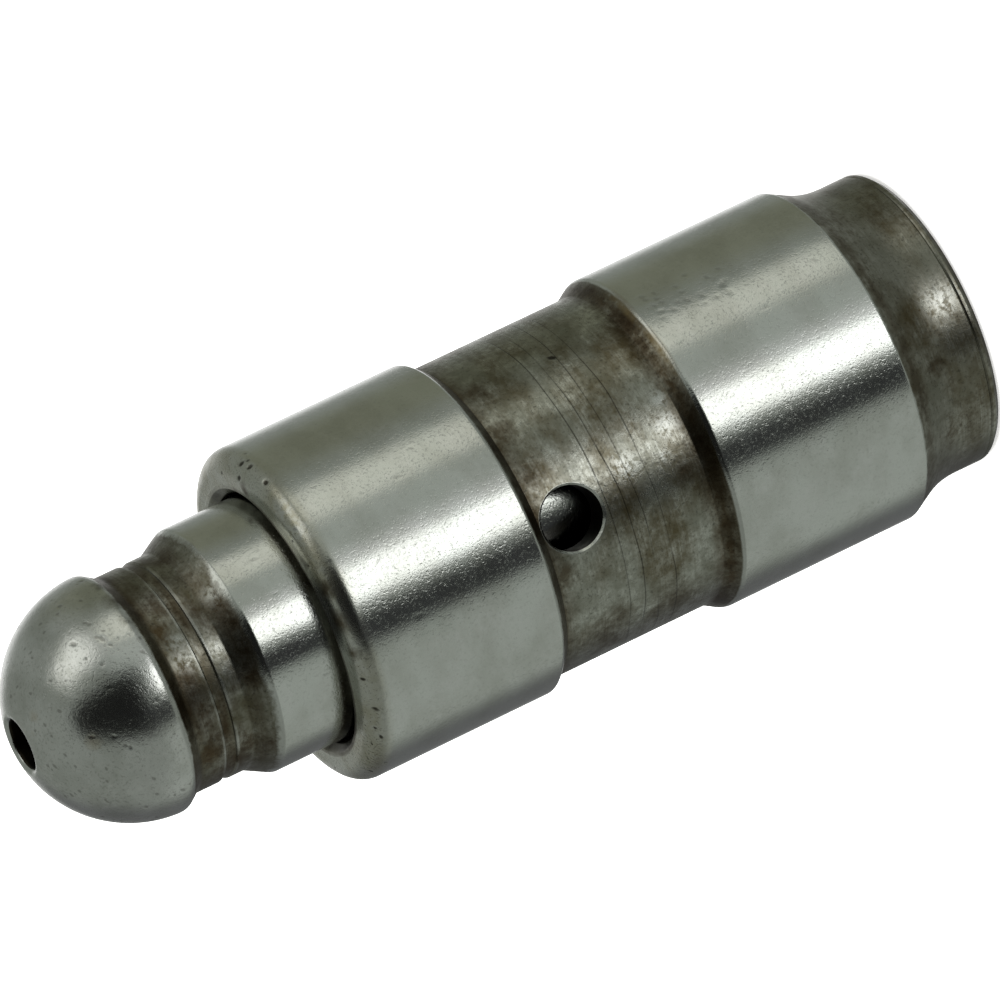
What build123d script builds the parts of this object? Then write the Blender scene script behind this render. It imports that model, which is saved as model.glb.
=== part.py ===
from build123d import *
import os
from math import cos, pi, radians, sin, sqrt, tan

# Hydraulic valve lifter of the pivot type, standing on its closed base with the ball head up.
# The axis is Z, the base lies at z = 0 and the oil hole faces -Y. All sizes are in millimetres.

# Fits
guide_clearance = 0.03      # both plungers in the bore, on the radius
ring_clearance = 0.03       # shank through the retaining ring, on the radius
ring_groove_clearance = 0.03
stop_gap = 0.03             # collar to ring, at rest
shoulder_gap = 0.1          # lower plunger to the chamber's shoulder, fully pressed in
seat_gap = 0.02             # check ball to its seat, closed
spring_gap = 0.02           # check ball spring to the ball and to the cage floor
cage_clearance = 0.05       # cage flange in its recess, on the radius
spring_clearance = 0.4      # plunger spring in the cage's recess, on the radius
chamber_clearance = 0.6     # plunger spring in the chamber, on the radius
floor_gap = 0.22            # cage to the chamber's floor, fully pressed in

# Housing, outside, from the base up
body_d = 12.0
rear_neck_step = 0.73       # rear land to the rear neck, on the radius
base_chamfer = 0.2
rear_neck_height = 3.42
rear_cone_angle = 28.0
rear_neck_fillet = 3.2
rear_land_length = 7.05
oil_groove_depth = 0.38
oil_groove_length = 6.05
groove_rear_slope = 0.63
groove_front_slope = 0.4
front_land_length = 7.25
nose_fillet = 0.72
land_edge_radius = 0.12
groove_crest_radius = 0.25  # rear land to the groove's slope
oil_hole_d = 2.2
oil_hole_chamfer = 0.07
oil_hole_margin = 0.01      # rim of the oil hole to the groove's front end

# Housing, inside
bore_d = 9.06
mouth_countersink = 0.25
chamber_fillet = 0.4
ring_setback = 1.75         # retaining ring to the front face

# Retaining ring
ring_wire_d = 0.5
ring_gap_angle = 24.0

# Upper plunger, from its collar up and down
plunger_travel = 3.0
shank_step = 0.11           # collar to shank, on the radius
shank_length = 4.43
collar_length = 2.1
feed_groove_depth = 0.7
feed_groove_lead = 1.6      # oil hole to the feed groove's foot, at rest
feed_groove_fillet = 0.3
foot_length = 1.75
plunger_chamfer = 0.15
neck_d = 7.8
neck_cone_length = 0.9
neck_length = 1.98
neck_fillet = 0.25
clip_groove_setback = 0.62  # clip groove to the neck cone
clip_groove_width = 0.42
clip_groove_depth = 0.07
head_d = 8.52
head_rise = 0.47            # end of the neck to the centre of the head
head_edge_length = 0.5
head_edge_radius = 0.45
head_neck_fillet = 0.3
head_hole_d = 1.74
head_hole_radius = 0.2
reservoir_d = 5.8
reservoir_depth = 11.6
drill_point_angle = 118.0
feed_hole_d = 1.2
feed_hole_height = 3.2      # above the feed groove's foot

# Lower plunger and its valve seat
lower_length = 4.4
web_thickness = 1.8
recess_wall = 0.8
recess_depth = 0.9
valve_hole_d = 2.0
seat_chamfer = 0.25

# Check ball, cage and springs
check_ball_d = 3.0
check_ball_lift = 0.2
cage_thickness = 0.25
cage_side_gap = 0.2         # check ball to the cage wall
cage_depth = 3.35
cage_bend = 0.1
cage_window_count = 3
cage_window_width = 1.3
cage_window_margin = 0.45
cage_floor_hole_d = 0.8
check_spring_wire_d = 0.18
check_spring_d = 2.2
check_spring_half_turns = 5
plunger_spring_wire_d = 0.55
open_half_turns = 7
closed_half_turns = 2       # at each end of the plunger spring
wire_flats = 8              # both springs' round wire is drawn with this many flats

# Radii
body_r = body_d / 2
rear_neck_r = body_r - rear_neck_step
oil_groove_r = body_r - oil_groove_depth
oil_hole_r = oil_hole_d / 2
bore_r = bore_d / 2
guide_r = bore_r - guide_clearance
shank_r = guide_r - shank_step
feed_groove_r = guide_r - feed_groove_depth
neck_r = neck_d / 2
head_r = head_d / 2
head_hole_r = head_hole_d / 2
reservoir_r = reservoir_d / 2
recess_r = guide_r - recess_wall
plunger_spring_r = recess_r - spring_clearance
chamber_r = plunger_spring_r + chamber_clearance
valve_hole_r = valve_hole_d / 2
check_ball_r = check_ball_d / 2
ring_wire_r = ring_wire_d / 2
ring_r = shank_r + ring_clearance + ring_wire_r
ring_groove_r = ring_r + ring_wire_r + ring_groove_clearance

# Heights of the housing's features
rear_cone_z = rear_neck_height - (body_r - rear_neck_r) / tan(radians(rear_cone_angle))
rear_land_top_z = rear_neck_height + rear_land_length
oil_groove_z = rear_land_top_z + groove_rear_slope
oil_groove_top_z = oil_groove_z + oil_groove_length
front_land_z = oil_groove_top_z + groove_front_slope
face_z = front_land_z + front_land_length
oil_hole_z = oil_groove_top_z - oil_hole_margin - oil_hole_chamfer - oil_hole_r
ring_z = face_z - ring_setback

# Heights of the plungers at rest, stopped by the ring
collar_z = ring_z - ring_wire_r - stop_gap
feed_groove_top_z = collar_z - collar_length
feed_groove_z = oil_hole_z - feed_groove_lead
foot_z = feed_groove_z - foot_length
lower_z = foot_z - lower_length
shoulder_z = lower_z - plunger_travel - shoulder_gap
neck_cone_z = collar_z + shank_length
neck_z = neck_cone_z + neck_cone_length
head_z = neck_z + neck_length
head_centre_z = head_z + head_rise
reservoir_top_z = foot_z + reservoir_depth
drill_point_z = reservoir_top_z + (reservoir_r - head_hole_r) / tan(radians(drill_point_angle / 2))

# Heights of the check valve
seat_z = lower_z + recess_depth
web_top_z = seat_z + web_thickness
check_ball_z = seat_z + valve_hole_r + seat_chamfer - (check_ball_r + seat_gap) / cos(pi / 4)
cage_floor_z = seat_z - cage_depth
cage_flange_z = seat_z - cage_thickness
cage_bottom_z = cage_floor_z - cage_thickness
floor_z = cage_bottom_z - plunger_travel - floor_gap


def corner(vertices, radius, height):
    """The vertices of a turned section that lie at this radius and height."""
    return vertices.filter_by(lambda v: abs(v.X - radius) < 1e-4 and abs(v.Y - height) < 1e-4)


def half_turn_axes(radius, bottom, rises):
    """Start heights and turning axes of a coil's half turns, each a ring segment tilted about Y."""
    side = 1
    height = bottom
    half_turns = []
    for rise in rises:
        axis = Axis((0, 0, height + rise / 2), (side * rise, 0, 2 * radius))
        half_turns.append((side * radius, height, axis))
        height += rise
        side = -side
    return half_turns


# Housing: the outside is turned first, then the bore, the ring groove and the oil hole are cut
with BuildPart() as housing:
    with BuildSketch(Plane.XZ) as outside:
        with BuildLine():
            Polyline(
                (0, 0),
                (rear_neck_r - base_chamfer, 0),
                (rear_neck_r, base_chamfer),
                (rear_neck_r, rear_cone_z),
                (body_r, rear_neck_height),
                (body_r, rear_land_top_z),
                (oil_groove_r, oil_groove_z),
                (oil_groove_r, oil_groove_top_z),
                (body_r, front_land_z),
                (body_r, face_z),
                (0, face_z),
                close=True,
            )
        make_face()
        fillet(corner(outside.vertices(), rear_neck_r, rear_cone_z), rear_neck_fillet)
        fillet(corner(outside.vertices(), body_r, face_z), nose_fillet)
        fillet(corner(outside.vertices(), body_r, rear_land_top_z), groove_crest_radius)
        for height in (rear_neck_height, front_land_z):
            fillet(corner(outside.vertices(), body_r, height), land_edge_radius)
    revolve(axis=Axis.Z)
    with BuildSketch(Plane.XZ) as inside:
        with BuildLine():
            Polyline(
                (0, floor_z),
                (chamber_r, floor_z),
                (chamber_r, shoulder_z),
                (bore_r, shoulder_z),
                (bore_r, face_z - mouth_countersink),
                (bore_r + mouth_countersink, face_z),
                (0, face_z),
                close=True,
            )
        make_face()
        fillet(corner(inside.vertices(), chamber_r, floor_z), chamber_fillet)
        with Locations(((bore_r + ring_groove_r) / 2, ring_z)):
            Rectangle(ring_groove_r - bore_r, ring_wire_d + 2 * ring_groove_clearance)
    revolve(axis=Axis.Z, mode=Mode.SUBTRACT)
    with BuildSketch(Plane.XZ):
        with Locations((0, oil_hole_z)):
            Circle(oil_hole_r)
    extrude(amount=body_r, mode=Mode.SUBTRACT)
    hole_rim = housing.edges().filter_by(lambda e: e.geom_type != GeomType.CIRCLE).sort_by(Axis.Y)[0]
    chamfer(hole_rim, oil_hole_chamfer)
housing.part.label = "housing"

# Retaining ring: an open wire ring that springs into its groove just inside the mouth
with BuildPart() as retaining_ring:
    with BuildLine(Plane.XY.offset(ring_z)) as ring_line:
        CenterArc((0, 0), ring_r, 90 + ring_gap_angle / 2, 360 - ring_gap_angle)
    with BuildSketch(Plane(ring_line.line @ 0, z_dir=ring_line.line % 0)):
        Circle(ring_wire_r)
    sweep()
retaining_ring.part.label = "retaining_ring"

# Upper plunger: foot, feed groove, collar, shank, clip neck and ball head, bored as an oil reservoir
head_edge_z = head_z + head_edge_length
head_edge_r = sqrt(head_r**2 - (head_centre_z - head_edge_z) ** 2)
clip_groove_z = neck_z + clip_groove_setback
clip_groove_r = neck_r - clip_groove_depth
head_rim_z = head_centre_z + sqrt(head_r**2 - head_hole_r**2)
with BuildPart() as upper_plunger:
    with BuildSketch(Plane.XZ) as plunger_section:
        with BuildLine():
            Polyline(
                (head_hole_r, head_rim_z),
                (head_hole_r, drill_point_z),
                (reservoir_r, reservoir_top_z),
                (reservoir_r, foot_z),
                (guide_r - plunger_chamfer, foot_z),
                (guide_r, foot_z + plunger_chamfer),
                (guide_r, feed_groove_z),
                (feed_groove_r, feed_groove_z),
                (feed_groove_r, feed_groove_top_z),
                (guide_r, feed_groove_top_z),
                (guide_r, collar_z),
                (shank_r, collar_z),
                (shank_r, neck_cone_z),
                (neck_r, neck_z),
                (neck_r, clip_groove_z),
                (clip_groove_r, clip_groove_z),
                (clip_groove_r, clip_groove_z + clip_groove_width),
                (neck_r, clip_groove_z + clip_groove_width),
                (neck_r, head_z),
                (head_edge_r, head_edge_z),
            )
            ThreePointArc(
                (head_edge_r, head_edge_z),
                (head_r * cos(pi / 4), head_centre_z + head_r * sin(pi / 4)),
                (head_hole_r, head_rim_z),
            )
        make_face()
        for height in (feed_groove_z, feed_groove_top_z):
            fillet(corner(plunger_section.vertices(), feed_groove_r, height), feed_groove_fillet)
            chamfer(corner(plunger_section.vertices(), guide_r, height), plunger_chamfer)
        fillet(corner(plunger_section.vertices(), shank_r, neck_cone_z), neck_fillet)
        fillet(corner(plunger_section.vertices(), neck_r, neck_z), neck_fillet)
        fillet(corner(plunger_section.vertices(), neck_r, head_z), head_neck_fillet)
        fillet(corner(plunger_section.vertices(), head_edge_r, head_edge_z), head_edge_radius)
        fillet(corner(plunger_section.vertices(), head_hole_r, head_rim_z), head_hole_radius)
    revolve(axis=Axis.Z)
    with BuildSketch(Plane.XZ):
        with Locations((0, feed_groove_z + feed_hole_height)):
            Circle(feed_hole_d / 2)
    extrude(amount=-guide_r, mode=Mode.SUBTRACT)
upper_plunger.part.label = "upper_plunger"

# Lower plunger: a reservoir above the web, the valve seat and the cage's recess below it
with BuildPart() as lower_plunger:
    with BuildSketch(Plane.XZ) as lower_section:
        with BuildLine():
            Polyline(
                (valve_hole_r, web_top_z),
                (reservoir_r, web_top_z),
                (reservoir_r, foot_z),
                (guide_r, foot_z),
                (guide_r, lower_z),
                (recess_r, lower_z),
                (recess_r, seat_z),
                (valve_hole_r + seat_chamfer, seat_z),
                (valve_hole_r, seat_z + seat_chamfer),
                close=True,
            )
        make_face()
        for height in (lower_z, foot_z):
            chamfer(corner(lower_section.vertices(), guide_r, height), plunger_chamfer)
    revolve(axis=Axis.Z)
lower_plunger.part.label = "lower_plunger"

# Check ball, held just off its seat by the width of the oil film
with BuildPart() as check_ball:
    with Locations((0, 0, check_ball_z)):
        Sphere(check_ball_r)
check_ball.part.label = "check_ball"

# Ball cage: a pressed cup with a flange, windows in its wall and a hole in its floor
cage_r = check_ball_r + cage_side_gap
cage_outer_r = cage_r + cage_thickness
cage_flange_r = recess_r - cage_clearance
with BuildPart() as ball_cage:
    with BuildSketch(Plane.XZ) as cage_section:
        with BuildLine():
            Polyline(
                (cage_floor_hole_d / 2, cage_bottom_z),
                (cage_outer_r, cage_bottom_z),
                (cage_outer_r, cage_flange_z),
                (cage_flange_r, cage_flange_z),
                (cage_flange_r, seat_z),
                (cage_r, seat_z),
                (cage_r, cage_floor_z),
                (cage_floor_hole_d / 2, cage_floor_z),
                close=True,
            )
        make_face()
        fillet(corner(cage_section.vertices(), cage_outer_r, cage_flange_z), cage_bend)
        fillet(corner(cage_section.vertices(), cage_r, cage_floor_z), cage_bend)
        fillet(corner(cage_section.vertices(), cage_outer_r, cage_bottom_z), cage_bend + cage_thickness)
        fillet(corner(cage_section.vertices(), cage_r, seat_z), cage_bend + cage_thickness)
    revolve(axis=Axis.Z)
    with BuildSketch(Plane.XY.offset(cage_floor_z + cage_window_margin)):
        with PolarLocations(cage_outer_r, cage_window_count):
            Rectangle(2 * cage_thickness + cage_outer_r, cage_window_width)
    extrude(amount=cage_flange_z - cage_floor_z - 2 * cage_window_margin, mode=Mode.SUBTRACT)
ball_cage.part.label = "ball_cage"


# Check ball spring: a light coil between the cage's floor and the ball
check_spring_wire_r = check_spring_wire_d / 2
check_spring_r = check_spring_d / 2 - check_spring_wire_r
ball_reach = check_ball_r + check_spring_wire_r + spring_gap
check_spring_top_z = check_ball_z - sqrt(ball_reach**2 - check_spring_r**2)
check_spring_z = cage_floor_z + check_spring_wire_r + spring_gap
check_spring_rise = (check_spring_top_z - check_spring_z) / check_spring_half_turns
with BuildPart() as check_ball_spring:
    for start_x, start_z, axis in half_turn_axes(
        check_spring_r, check_spring_z, [check_spring_rise] * check_spring_half_turns
    ):
        with BuildSketch(Plane.XZ):
            with Locations((start_x, start_z)):
                RegularPolygon(check_spring_wire_r, wire_flats)
        revolve(axis=axis, revolution_arc=180)
check_ball_spring.part.label = "check_ball_spring"

# Plunger spring: closed and ground flat at both ends, from the housing's floor to the cage's flange
spring_wire_r = plunger_spring_wire_d / 2
spring_coil_r = plunger_spring_r - spring_wire_r
closed_rise = plunger_spring_wire_d / 2 + spring_gap
spring_length = cage_flange_z - floor_z
open_rise = (spring_length - 2 * closed_half_turns * closed_rise) / open_half_turns
spring_rises = [closed_rise] * closed_half_turns
spring_rises += [open_rise] * open_half_turns
spring_rises += [closed_rise] * closed_half_turns
with BuildPart() as plunger_spring:
    for start_x, start_z, axis in half_turn_axes(spring_coil_r, floor_z, spring_rises):
        with BuildSketch(Plane.XZ):
            with Locations((start_x, start_z)):
                RegularPolygon(spring_wire_r, wire_flats)
        revolve(axis=axis, revolution_arc=180)
    with BuildSketch(Plane.XY.offset(floor_z)):
        Circle(chamber_r)
    extrude(amount=spring_length, mode=Mode.INTERSECT)
plunger_spring.part.label = "plunger_spring"

os.makedirs("parts", exist_ok=True)
pieces = (
    housing,
    retaining_ring,
    upper_plunger,
    lower_plunger,
    check_ball,
    ball_cage,
    check_ball_spring,
    plunger_spring,
)
for piece in pieces:
    export_step(piece.part, f"parts/{piece.part.label}.step")
print(f"height {upper_plunger.part.bounding_box().max.Z:.3f}, face {face_z:.3f}, foot {foot_z:.3f}")
print(f"shoulder {shoulder_z:.3f}, seat {seat_z:.3f}, cage bottom {cage_bottom_z:.3f}")
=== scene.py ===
import math
import random

import bmesh
import bpy
import numpy as np
from mathutils import Matrix, Vector


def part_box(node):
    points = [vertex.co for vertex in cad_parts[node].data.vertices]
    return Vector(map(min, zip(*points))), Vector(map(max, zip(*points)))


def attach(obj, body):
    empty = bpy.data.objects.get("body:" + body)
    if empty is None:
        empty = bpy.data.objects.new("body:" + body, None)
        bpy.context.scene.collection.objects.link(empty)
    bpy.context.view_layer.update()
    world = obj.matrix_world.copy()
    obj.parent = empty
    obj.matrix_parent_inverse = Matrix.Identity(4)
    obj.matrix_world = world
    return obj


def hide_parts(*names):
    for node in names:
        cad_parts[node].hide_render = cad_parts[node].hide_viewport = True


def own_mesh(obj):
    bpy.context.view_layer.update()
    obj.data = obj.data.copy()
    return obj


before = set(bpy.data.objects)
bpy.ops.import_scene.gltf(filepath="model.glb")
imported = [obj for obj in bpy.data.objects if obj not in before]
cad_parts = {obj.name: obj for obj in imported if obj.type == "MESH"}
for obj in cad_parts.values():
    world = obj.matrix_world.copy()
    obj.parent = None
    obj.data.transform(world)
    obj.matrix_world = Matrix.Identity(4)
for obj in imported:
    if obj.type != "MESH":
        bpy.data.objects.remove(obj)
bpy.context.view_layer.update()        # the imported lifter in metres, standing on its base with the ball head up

mm = 0.001
print("frame loaded:", sorted(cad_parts))


# sRGB hex to the linear values that Blender works in
def hexColour(code):
    parts = [int(code[i:i + 2], 16) / 255 for i in (1, 3, 5)]
    return [p / 12.92 if p <= 0.04045 else ((p + 0.055) / 1.055) ** 2.4 for p in parts] + [1]


# one node with its settings, and its inputs as values or links; gives the node's outputs
def addNode(tree, kind, inputs=None, **settings):
    node = tree.nodes.new("ShaderNode" + kind)
    for name, value in settings.items():
        setattr(node, name, value)
    for socket, value in (inputs or {}).items():
        if isinstance(value, bpy.types.NodeSocket):
            tree.links.new(value, node.inputs[socket])
        else:
            node.inputs[socket].default_value = value
    return node.outputs


# where all the masks hold, or with MAXIMUM where any does
def joinMasks(tree, masks, how="MULTIPLY"):
    joined = masks[0]
    for mask in masks[1:]:
        joined = addNode(tree, "Math", {0: joined, 1: mask}, operation=how)[0]
    return joined


# Camera: the photograph looks at the oil hole's side, a little from above, with the ball at the lower left

photoView = {
    "turn": 11.2,            # degrees from the oil hole round to the nearest point of the lifter
    "lift": 18.48,           # degrees above the horizon
    "roll": 25.55,           # degrees between the lifter's axis and the picture's rows
    "distance": 390 * mm,
    "lens": 423.8,
    "sensor": 36,
    "targetHeight": 16.88 * mm,
    "aside": 0.447 * mm,
    "above": 0.742 * mm,
    "nearest": 10 * mm,      # nothing is drawn closer than this
}


def placeCamera(view):
    turn, lift, roll = (math.radians(view[k]) for k in ("turn", "lift", "roll"))
    near = Vector((math.sin(turn), -math.cos(turn), 0))
    side = Vector((math.cos(turn), math.sin(turn), 0))
    axis = Vector((0, 0, 1))
    down = math.sin(lift) * near - math.cos(lift) * axis
    right = -math.sin(roll) * side + math.cos(roll) * down
    up = math.cos(roll) * side + math.sin(roll) * down
    back = math.cos(lift) * near + math.sin(lift) * axis
    camera = bpy.data.objects.new("photo_camera", bpy.data.cameras.new("photo_camera"))
    bpy.context.scene.collection.objects.link(camera)
    camera.data.lens = view["lens"]
    camera.data.sensor_width = view["sensor"]
    camera.data.clip_start = view["nearest"]
    place = axis * view["targetHeight"] + back * view["distance"]
    place += right * view["aside"] + up * view["above"]
    camera.matrix_world = Matrix.Translation(place) @ Matrix((right, up, back)).transposed().to_4x4()
    bpy.context.scene.camera = camera
    bpy.context.scene.view_settings.view_transform = "Standard"


placeCamera(photoView)
print("camera placed")

# Studio light: soft white cards and black cloths round the lifter, which its polished steel mirrors.
# A card is its azimuth from the camera (counterclockwise seen from above), elevation, width, height and soft
# edge in degrees, then how bright it is, where 1 is plain white, and its tint. Later cards hang in front.

studio = {
    "room": {"light": 0.33, "tint": "#f5fbf3"},
    "cards": {
        "side wall": (-82, -20, 78, 34, 16, 0.47, "#f9fff8"),
        "far wall": (-150, -10, 44, 60, 22, 0.16, "#fbfdff"),
        "olive curtain": (111, -14, 44, 44, 26, 0.245, "#fcffe4"),
        "paper sweep": (171, -16, 26, 50, 22, 1.1, "#ffffff"),
        "low strip": (60, -8, 26, 34, 12, 0.86, "#fffff4"),
        "window": (66, 38, 38, 38, 18, 1.15, "#fffffa"),
        "grey board": (31, -8, 30, 50, 12, 0.50, "#f9fff8"),
        "black cloth": (-11, 38, 64, 72, 12, 0.015, "#ffffff"),
        "dark gap": (-28, -10, 19, 44, 6, 0.045, "#f8fbff"),
        "front glow": (11, -23, 22, 22, 10, 0.8, "#ffffff"),
        "front strip": (1, -21, 22, 24, 6, 2.4, "#ffffff"),
    },
    "floor": {"size": 3.0, "drop": 0.01 * mm, "colour": "#f5f5f3", "roughness": 0.9, "glow": 0.5},
    "top light": {"size": 0.5, "height": 0.6, "watts": 4.5},
}


def hangCards(view, room, cards):
    world = bpy.data.worlds.new("studio")
    world.use_nodes = True
    bpy.context.scene.world = world
    tree = world.node_tree
    tree.nodes.clear()
    cameraTurn = math.radians(view["turn"] - 90)
    look = addNode(tree, "TexCoord")["Generated"]
    height = addNode(tree, "Math", {0: addNode(tree, "SeparateXYZ", {0: look})["Z"]}, operation="ARCSINE")[0]
    scenery = [c * room["light"] for c in hexColour(room["tint"])]
    for *angles, light, tint in cards.values():
        azimuth, elevation, width, tall, soft = (math.radians(angle) for angle in angles)
        turned = addNode(tree, "VectorRotate", {"Vector": look, "Angle": -cameraTurn - azimuth},
                         rotation_type="Z_AXIS")[0]
        parts = addNode(tree, "SeparateXYZ", {0: turned})
        across = addNode(tree, "Math", {0: parts["Y"], 1: parts["X"]}, operation="ARCTAN2")[0]
        along = addNode(tree, "Math", {0: height, 1: elevation}, operation="SUBTRACT")[0]
        edges = []
        for offset, span in ((across, width), (along, tall)):
            distance = addNode(tree, "Math", {0: offset}, operation="ABSOLUTE")[0]
            edges.append(addNode(tree, "MapRange", {
                "Value": distance, "From Min": (span - soft) / 2, "From Max": (span + soft) / 2,
                "To Min": 1.0, "To Max": 0.0}, interpolation_type="SMOOTHSTEP")[0])
        glow = [c * light for c in hexColour(tint)]
        card = joinMasks(tree, edges)
        scenery = addNode(tree, "Mix", {0: card, 6: scenery, 7: glow}, data_type="RGBA")[2]
    # the floor and the bare background get plain white light
    path = addNode(tree, "LightPath")
    plain = joinMasks(tree, [path["Is Camera Ray"], path["Is Diffuse Ray"]], "MAXIMUM")
    seen = addNode(tree, "Mix", {0: plain, 6: scenery, 7: hexColour("#ffffff")}, data_type="RGBA")[2]
    addNode(tree, "OutputWorld", {"Surface": addNode(tree, "Background", {"Color": seen})[0]})


def layFloor(floor, topLight):
    half = floor["size"] / 2
    mesh = bpy.data.meshes.new("floor")
    corners = [(-half, -half, 0), (half, -half, 0), (half, half, 0), (-half, half, 0)]
    mesh.from_pydata(corners, [], [(0, 1, 2, 3)])
    sheet = bpy.data.objects.new("floor", mesh)
    bpy.context.scene.collection.objects.link(sheet)
    sheet.location.z = -floor["drop"]  # just clear of the base
    sheet.visible_glossy = False       # the steel mirrors the cards, not what it stands on
    paper = bpy.data.materials.new("matt white acrylic, lit from below")
    paper.use_nodes = True
    shader = paper.node_tree.nodes["Principled BSDF"].inputs
    shader["Base Color"].default_value = hexColour(floor["colour"])
    shader["Roughness"].default_value = floor["roughness"]
    shader["Emission Color"].default_value = hexColour(floor["colour"])
    shader["Emission Strength"].default_value = floor["glow"]      # so that its shadows stay faint
    mesh.materials.append(paper)
    lamp = bpy.data.lights.new("top_light", "AREA")
    lamp.energy = topLight["watts"]
    lamp.size = topLight["size"]
    top = bpy.data.objects.new("top_light", lamp)
    top.location = (0, 0, topLight["height"])
    top.visible_glossy = False
    bpy.context.scene.collection.objects.link(top)


hangCards(photoView, studio["room"], studio["cards"])
layFloor(studio["floor"], studio["top light"])
print("studio built")


# Turning: an outline of (radius, height, fillet) in millimetres is spun about the lifter's axis.
# pitchAt gives how far apart its rows are at a point.

filletSteps = 4          # the fewest rows round a fillet


def turnedOutline(corners, pitchAt):
    points = []
    for i, corner in enumerate(corners):
        here = Vector(corner[:2])
        fillet = corner[2] if len(corner) > 2 else 0
        if not fillet:
            points.append(here)
            continue
        before = (Vector(corners[i - 1][:2]) - here).normalized()
        after = (Vector(corners[i + 1][:2]) - here).normalized()
        half = before.angle(after) / 2
        middle = here + (before + after).normalized() * fillet / math.sin(half)
        start = here + before * fillet / math.tan(half) - middle
        turn = math.copysign(math.pi - 2 * half, before.cross(after))
        steps = max(filletSteps, math.ceil(fillet * abs(turn) / pitchAt(here)))
        for k in range(steps + 1):
            angle = -turn * k / steps
            points.append(middle + Matrix.Rotation(angle, 2) @ start)
    rows = [points[0]]
    for a, b in zip(points, points[1:]):
        length = (b - a).length
        marks = [pitchAt(a)]
        while marks[-1] < length:
            marks.append(marks[-1] + pitchAt(a.lerp(b, marks[-1] / length)))
        rows += [a.lerp(b, mark / marks[-1]) for mark in marks]
    return rows


# the first and the last row lie on the axis, or the outline closes on itself
def spin(name, rows, count, closed=False):
    turns = np.linspace(0, 2 * np.pi, count, endpoint=False)
    rings = rows if closed else rows[1:-1]
    radii = np.array([p.x for p in rings])[:, None]
    heights = np.array([p.y for p in rings])[:, None]
    points = np.stack([radii * np.cos(turns), radii * np.sin(turns), heights + 0 * turns], -1)
    points = points.reshape(-1, 3)
    total = len(rings)
    spans = total if closed else total - 1
    low = np.arange(spans)[:, None] * count
    high = (np.arange(spans)[:, None] + 1) % total * count
    here = np.arange(count)
    beside = (here + 1) % count
    faces = np.stack([low + here, low + beside, high + beside, high + here], -1).reshape(-1, 4).tolist()
    if not closed:
        bottom, top = len(points), len(points) + 1
        points = np.vstack([points, [0, 0, rows[0].y], [0, 0, rows[-1].y]])
        last = (total - 1) * count
        faces += [(bottom, int(b), int(a)) for a, b in zip(here, beside)]
        faces += [(last + int(a), last + int(b), top) for a, b in zip(here, beside)]
    mesh = bpy.data.meshes.new(name)
    mesh.from_pydata((points * mm).tolist(), [], faces)
    mesh.update()
    piece = bpy.data.objects.new(name, mesh)
    bpy.context.scene.collection.objects.link(piece)
    return piece


def drill(piece, cutter):
    cut = piece.modifiers.new("drill", "BOOLEAN")
    cut.operation = "DIFFERENCE"
    cut.solver = "MANIFOLD"
    cut.object = cutter
    drilled = bpy.data.meshes.new_from_object(piece.evaluated_get(bpy.context.evaluated_depsgraph_get()))
    piece.modifiers.remove(cut)
    piece.data = drilled
    bpy.data.objects.remove(cutter)


# Dents are pressed into the mesh itself, with a slight burr round each. A dent is its place and the way out of
# the surface there, in millimetres, with its reach, depth, stretch and the direction it is stretched in.
# The burr's height is a share of the depth, its place and width are shares of the reach.
burr = {"height": 0.08, "at": 1.2, "width": 0.22}


def pressDents(piece, dents):
    mesh = piece.data
    count = len(mesh.vertices)
    places = np.zeros(count * 3)
    mesh.vertices.foreach_get("co", places)
    places = places.reshape(-1, 3) / mm
    normals = np.array([v.normal for v in mesh.vertices])
    moved = places.copy()
    depthMap = np.zeros(count)
    for dent in dents:
        offset = places - dent["place"]
        near = (np.abs(offset) < 2 * dent["reach"] * dent["stretch"]).all(1)
        close = np.nonzero(near & (normals @ dent["out"] > 0.5))[0]
        offset = offset[close] / dent["reach"]
        lengthwise = offset @ dent["along"]
        span = (offset ** 2).sum(1) - lengthwise ** 2 * (1 - 1 / dent["stretch"] ** 2)
        hollow = np.clip(1 - span, 0, 1) ** 1.5
        raised = burr["height"] * np.exp(-((np.sqrt(span) - burr["at"]) / burr["width"]) ** 2)
        moved[close] -= (dent["depth"] * (hollow - raised))[:, None] * dent["out"]
        depthMap[close] = np.maximum(depthMap[close], hollow)
    mesh.vertices.foreach_set("co", (moved * mm).ravel())
    layer = mesh.attributes.new("dent", "FLOAT", "POINT")
    layer.data.foreach_set("value", depthMap)
    mesh.update()


# a dent at a turn round the axis, where the outline has this radius and height and leans out by this slope
def dentAt(turn, radius, height, slope, reach, depth, stretch=1.0, lean=0.0):
    around = math.radians(turn)
    spoke = Vector((math.cos(around), math.sin(around), 0))
    rise = math.radians(slope)
    out = spoke * math.cos(rise) + Vector((0, 0, math.sin(rise)))
    sideways = Vector((-math.sin(around), math.cos(around), 0))
    upwards = out.cross(sideways)
    along = sideways * math.cos(math.radians(lean)) + upwards * math.sin(math.radians(lean))
    place = spoke * radius + Vector((0, 0, height))
    return {"place": np.array(place), "out": np.array(out), "along": np.array(along),
            "reach": reach, "depth": depth, "stretch": stretch}


# whether a dent reaches this height, so that the rows lie close together there
def isDented(height, dents):
    return any(abs(height - dent["place"][2]) < 2 * dent["reach"] * dent["stretch"] for dent in dents)


def triangles(piece):
    return sum(len(face.vertices) - 2 for face in piece.data.polygons)


sharpAngle = {"turned": 24, "wire": 40}      # degrees; edges sharper than this stay crisp


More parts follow.
